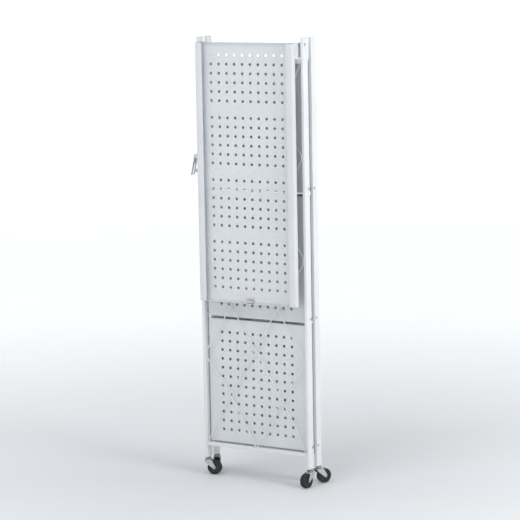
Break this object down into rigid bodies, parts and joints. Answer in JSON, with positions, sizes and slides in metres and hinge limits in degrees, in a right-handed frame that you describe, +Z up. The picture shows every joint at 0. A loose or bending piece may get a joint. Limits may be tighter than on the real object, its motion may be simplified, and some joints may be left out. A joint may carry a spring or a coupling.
{
  "type": "folding storage rack",
  "caption": "Tall narrow shelving rack with hinged half trays, wire end panels and a swing-over top board, folded flat on swivel casters.",
  "frame": {"origin": "on the floor, under the middle of the folded rack's outline", "axes": "+X along the shelf width, to the right seen from the top board's side; +Y from the front end frame to the rear end frame, the way the rack opens; +Z up"},
  "size_m": [0.3856, 0.1292, 1.2263],
  "materials": {
    "rack_white": "satin powder coat",
    "tray_white": "satin powder coat",
    "zinc": "bright zinc plate",
    "tyre_rubber": "moulded matt",
    "cap_plastic": "moulded satin"
  },
  "bodies": {
    "frame_front": {"front_left_post": "rack_white", "front_left_post_cap": "cap_plastic", "front_left_caster_stem": "zinc", "front_left_pivot_rivet_1": "zinc", "front_left_pivot_rivet_2": "zinc", "front_left_pivot_rivet_3": "zinc", "front_right_post": "rack_white", "front_right_post_cap": "cap_plastic", "front_right_caster_stem": "zinc", "front_right_pivot_rivet_1": "zinc", "front_right_pivot_rivet_2": "zinc", "front_right_pivot_rivet_3": "zinc", "front_lower_crossbar": "rack_white", "front_upper_crossbar": "rack_white", "front_wire_lattice": "rack_white", "top_left_hinge_rivet": "zinc", "top_right_hinge_rivet": "zinc", "side_catch_bracket": "zinc"},
    "frame_rear": {"rear_left_post": "rack_white", "rear_left_post_cap": "cap_plastic", "rear_left_caster_stem": "zinc", "rear_left_pivot_rivet_1": "zinc", "rear_left_pivot_rivet_2": "zinc", "rear_left_pivot_rivet_3": "zinc", "rear_right_post": "rack_white", "rear_right_post_cap": "cap_plastic", "rear_right_caster_stem": "zinc", "rear_right_pivot_rivet_1": "zinc", "rear_right_pivot_rivet_2": "zinc", "rear_right_pivot_rivet_3": "zinc", "rear_lower_crossbar": "rack_white", "rear_upper_crossbar": "rack_white", "rear_wire_lattice": "rack_white", "side_catch_keeper": "zinc"},
    "tray_front_l1": {"shelf_1_front_tray": "tray_white", "shelf_1_hinge_rod": "zinc"},
    "tray_rear_l1": {"shelf_1_rear_tray": "tray_white"},
    "tray_front_l2": {"shelf_2_front_tray": "tray_white", "shelf_2_hinge_rod": "zinc"},
    "tray_rear_l2": {"shelf_2_rear_tray": "tray_white"},
    "tray_front_l3": {"shelf_3_front_tray": "tray_white", "shelf_3_hinge_rod": "zinc"},
    "tray_rear_l3": {"shelf_3_rear_tray": "tray_white"},
    "top_board": {"top_board": "tray_white", "board_latch_housing": "zinc"},
    "board_latch": {"board_latch_tongue": "zinc"},
    "side_catch": {"side_catch_lever": "zinc"},
    "front_left_swivel": {"front_left_caster_fork": "zinc", "front_left_caster_axle": "zinc"},
    "front_left_wheel": {"front_left_caster_wheel": "tyre_rubber"},
    "front_right_swivel": {"front_right_caster_fork": "zinc", "front_right_caster_axle": "zinc"},
    "front_right_wheel": {"front_right_caster_wheel": "tyre_rubber"},
    "rear_left_swivel": {"rear_left_caster_fork": "zinc", "rear_left_caster_axle": "zinc"},
    "rear_left_wheel": {"rear_left_caster_wheel": "tyre_rubber"},
    "rear_right_swivel": {"rear_right_caster_fork": "zinc", "rear_right_caster_axle": "zinc"},
    "rear_right_wheel": {"rear_right_caster_wheel": "tyre_rubber"}
  },
  "joints": [
    {"name": "fold", "type": "hinge", "parent": "frame_front", "child": "tray_front_l2", "pos_m": [0.0054, -0.0091, 0.464], "axis": [-1, 0, 0], "range_deg": [0, 90]},
    {"name": "shelf_1_front_hinge", "type": "hinge", "parent": "frame_front", "child": "tray_front_l1", "pos_m": [0.0054, -0.0091, 0.109], "axis": [-1, 0, 0], "range_deg": [0, 90]},
    {"name": "shelf_3_front_hinge", "type": "hinge", "parent": "frame_front", "child": "tray_front_l3", "pos_m": [0.0054, -0.0091, 0.819], "axis": [-1, 0, 0], "range_deg": [0, 90]},
    {"name": "shelf_1_centre_hinge", "type": "hinge", "parent": "tray_front_l1", "child": "tray_rear_l1", "pos_m": [0.0054, 0.0059, 0.4465], "axis": [1, 0, 0], "range_deg": [0, 180]},
    {"name": "shelf_2_centre_hinge", "type": "hinge", "parent": "tray_front_l2", "child": "tray_rear_l2", "pos_m": [0.0054, 0.0059, 0.8015], "axis": [1, 0, 0], "range_deg": [0, 180]},
    {"name": "shelf_3_centre_hinge", "type": "hinge", "parent": "tray_front_l3", "child": "tray_rear_l3", "pos_m": [0.0054, 0.0059, 1.1565], "axis": [1, 0, 0], "range_deg": [0, 180]},
    {"name": "rear_frame_hinge", "type": "hinge", "parent": "tray_rear_l2", "child": "frame_rear", "pos_m": [0.0054, 0.0209, 0.464], "axis": [-1, 0, 0], "range_deg": [0, 90]},
    {"name": "top_board_hinge", "type": "hinge", "parent": "frame_front", "child": "top_board", "pos_m": [0.0054, -0.0186, 1.208], "axis": [-1, 0, 0], "range_deg": [0, 270]},
    {"name": "board_latch_slide", "type": "slide", "parent": "top_board", "child": "board_latch", "axis": [0, 1, 0], "range_m": [0, 0.0053]},
    {"name": "side_catch_hinge", "type": "hinge", "parent": "frame_front", "child": "side_catch", "pos_m": [-0.1776, -0.0161, 0.899], "axis": [0, 1, 0], "range_deg": [-13, 90]},
    {"name": "front_left_swivel", "type": "hinge", "parent": "frame_front", "child": "front_left_swivel", "pos_m": [-0.1601, -0.0161, 0.042], "axis": [0, 0, 1], "range_deg": [-195, 10]},
    {"name": "front_left_roll", "type": "hinge", "parent": "front_left_swivel", "child": "front_left_wheel", "pos_m": [-0.14289, -0.01084, 0.02], "axis": [-0.2924, 0.9563, 0], "continuous": true},
    {"name": "front_right_swivel", "type": "hinge", "parent": "frame_front", "child": "front_right_swivel", "pos_m": [0.1709, -0.0161, 0.042], "axis": [0, 0, 1], "range_deg": [-80, 120]},
    {"name": "front_right_roll", "type": "hinge", "parent": "front_right_swivel", "child": "front_right_wheel", "pos_m": [0.16871, -0.03397, 0.02], "axis": [0.9925, -0.1219, 0], "continuous": true},
    {"name": "rear_left_swivel", "type": "hinge", "parent": "frame_rear", "child": "rear_left_swivel", "pos_m": [-0.1601, 0.0279, 0.042], "axis": [0, 0, 1], "range_deg": [-80, 70]},
    {"name": "rear_left_roll", "type": "hinge", "parent": "rear_left_swivel", "child": "rear_left_wheel", "pos_m": [-0.17042, 0.04265, 0.02], "axis": [-0.8192, -0.5736, 0], "continuous": true},
    {"name": "rear_right_swivel", "type": "hinge", "parent": "frame_rear", "child": "rear_right_swivel", "pos_m": [0.1709, 0.0279, 0.042], "axis": [0, 0, 1], "range_deg": [-20, 130]},
    {"name": "rear_right_roll", "type": "hinge", "parent": "rear_right_swivel", "child": "rear_right_wheel", "pos_m": [0.17851, 0.04421, 0.02], "axis": [-0.9063, 0.4226, 0], "continuous": true}
  ],
  "couplings": [
    {"joint": "shelf_1_front_hinge", "follows": "fold", "ratio": 1},
    {"joint": "shelf_3_front_hinge", "follows": "fold", "ratio": 1},
    {"joint": "shelf_1_centre_hinge", "follows": "fold", "ratio": 2},
    {"joint": "shelf_2_centre_hinge", "follows": "fold", "ratio": 2},
    {"joint": "shelf_3_centre_hinge", "follows": "fold", "ratio": 2},
    {"joint": "rear_frame_hinge", "follows": "fold", "ratio": 1}
  ]
}
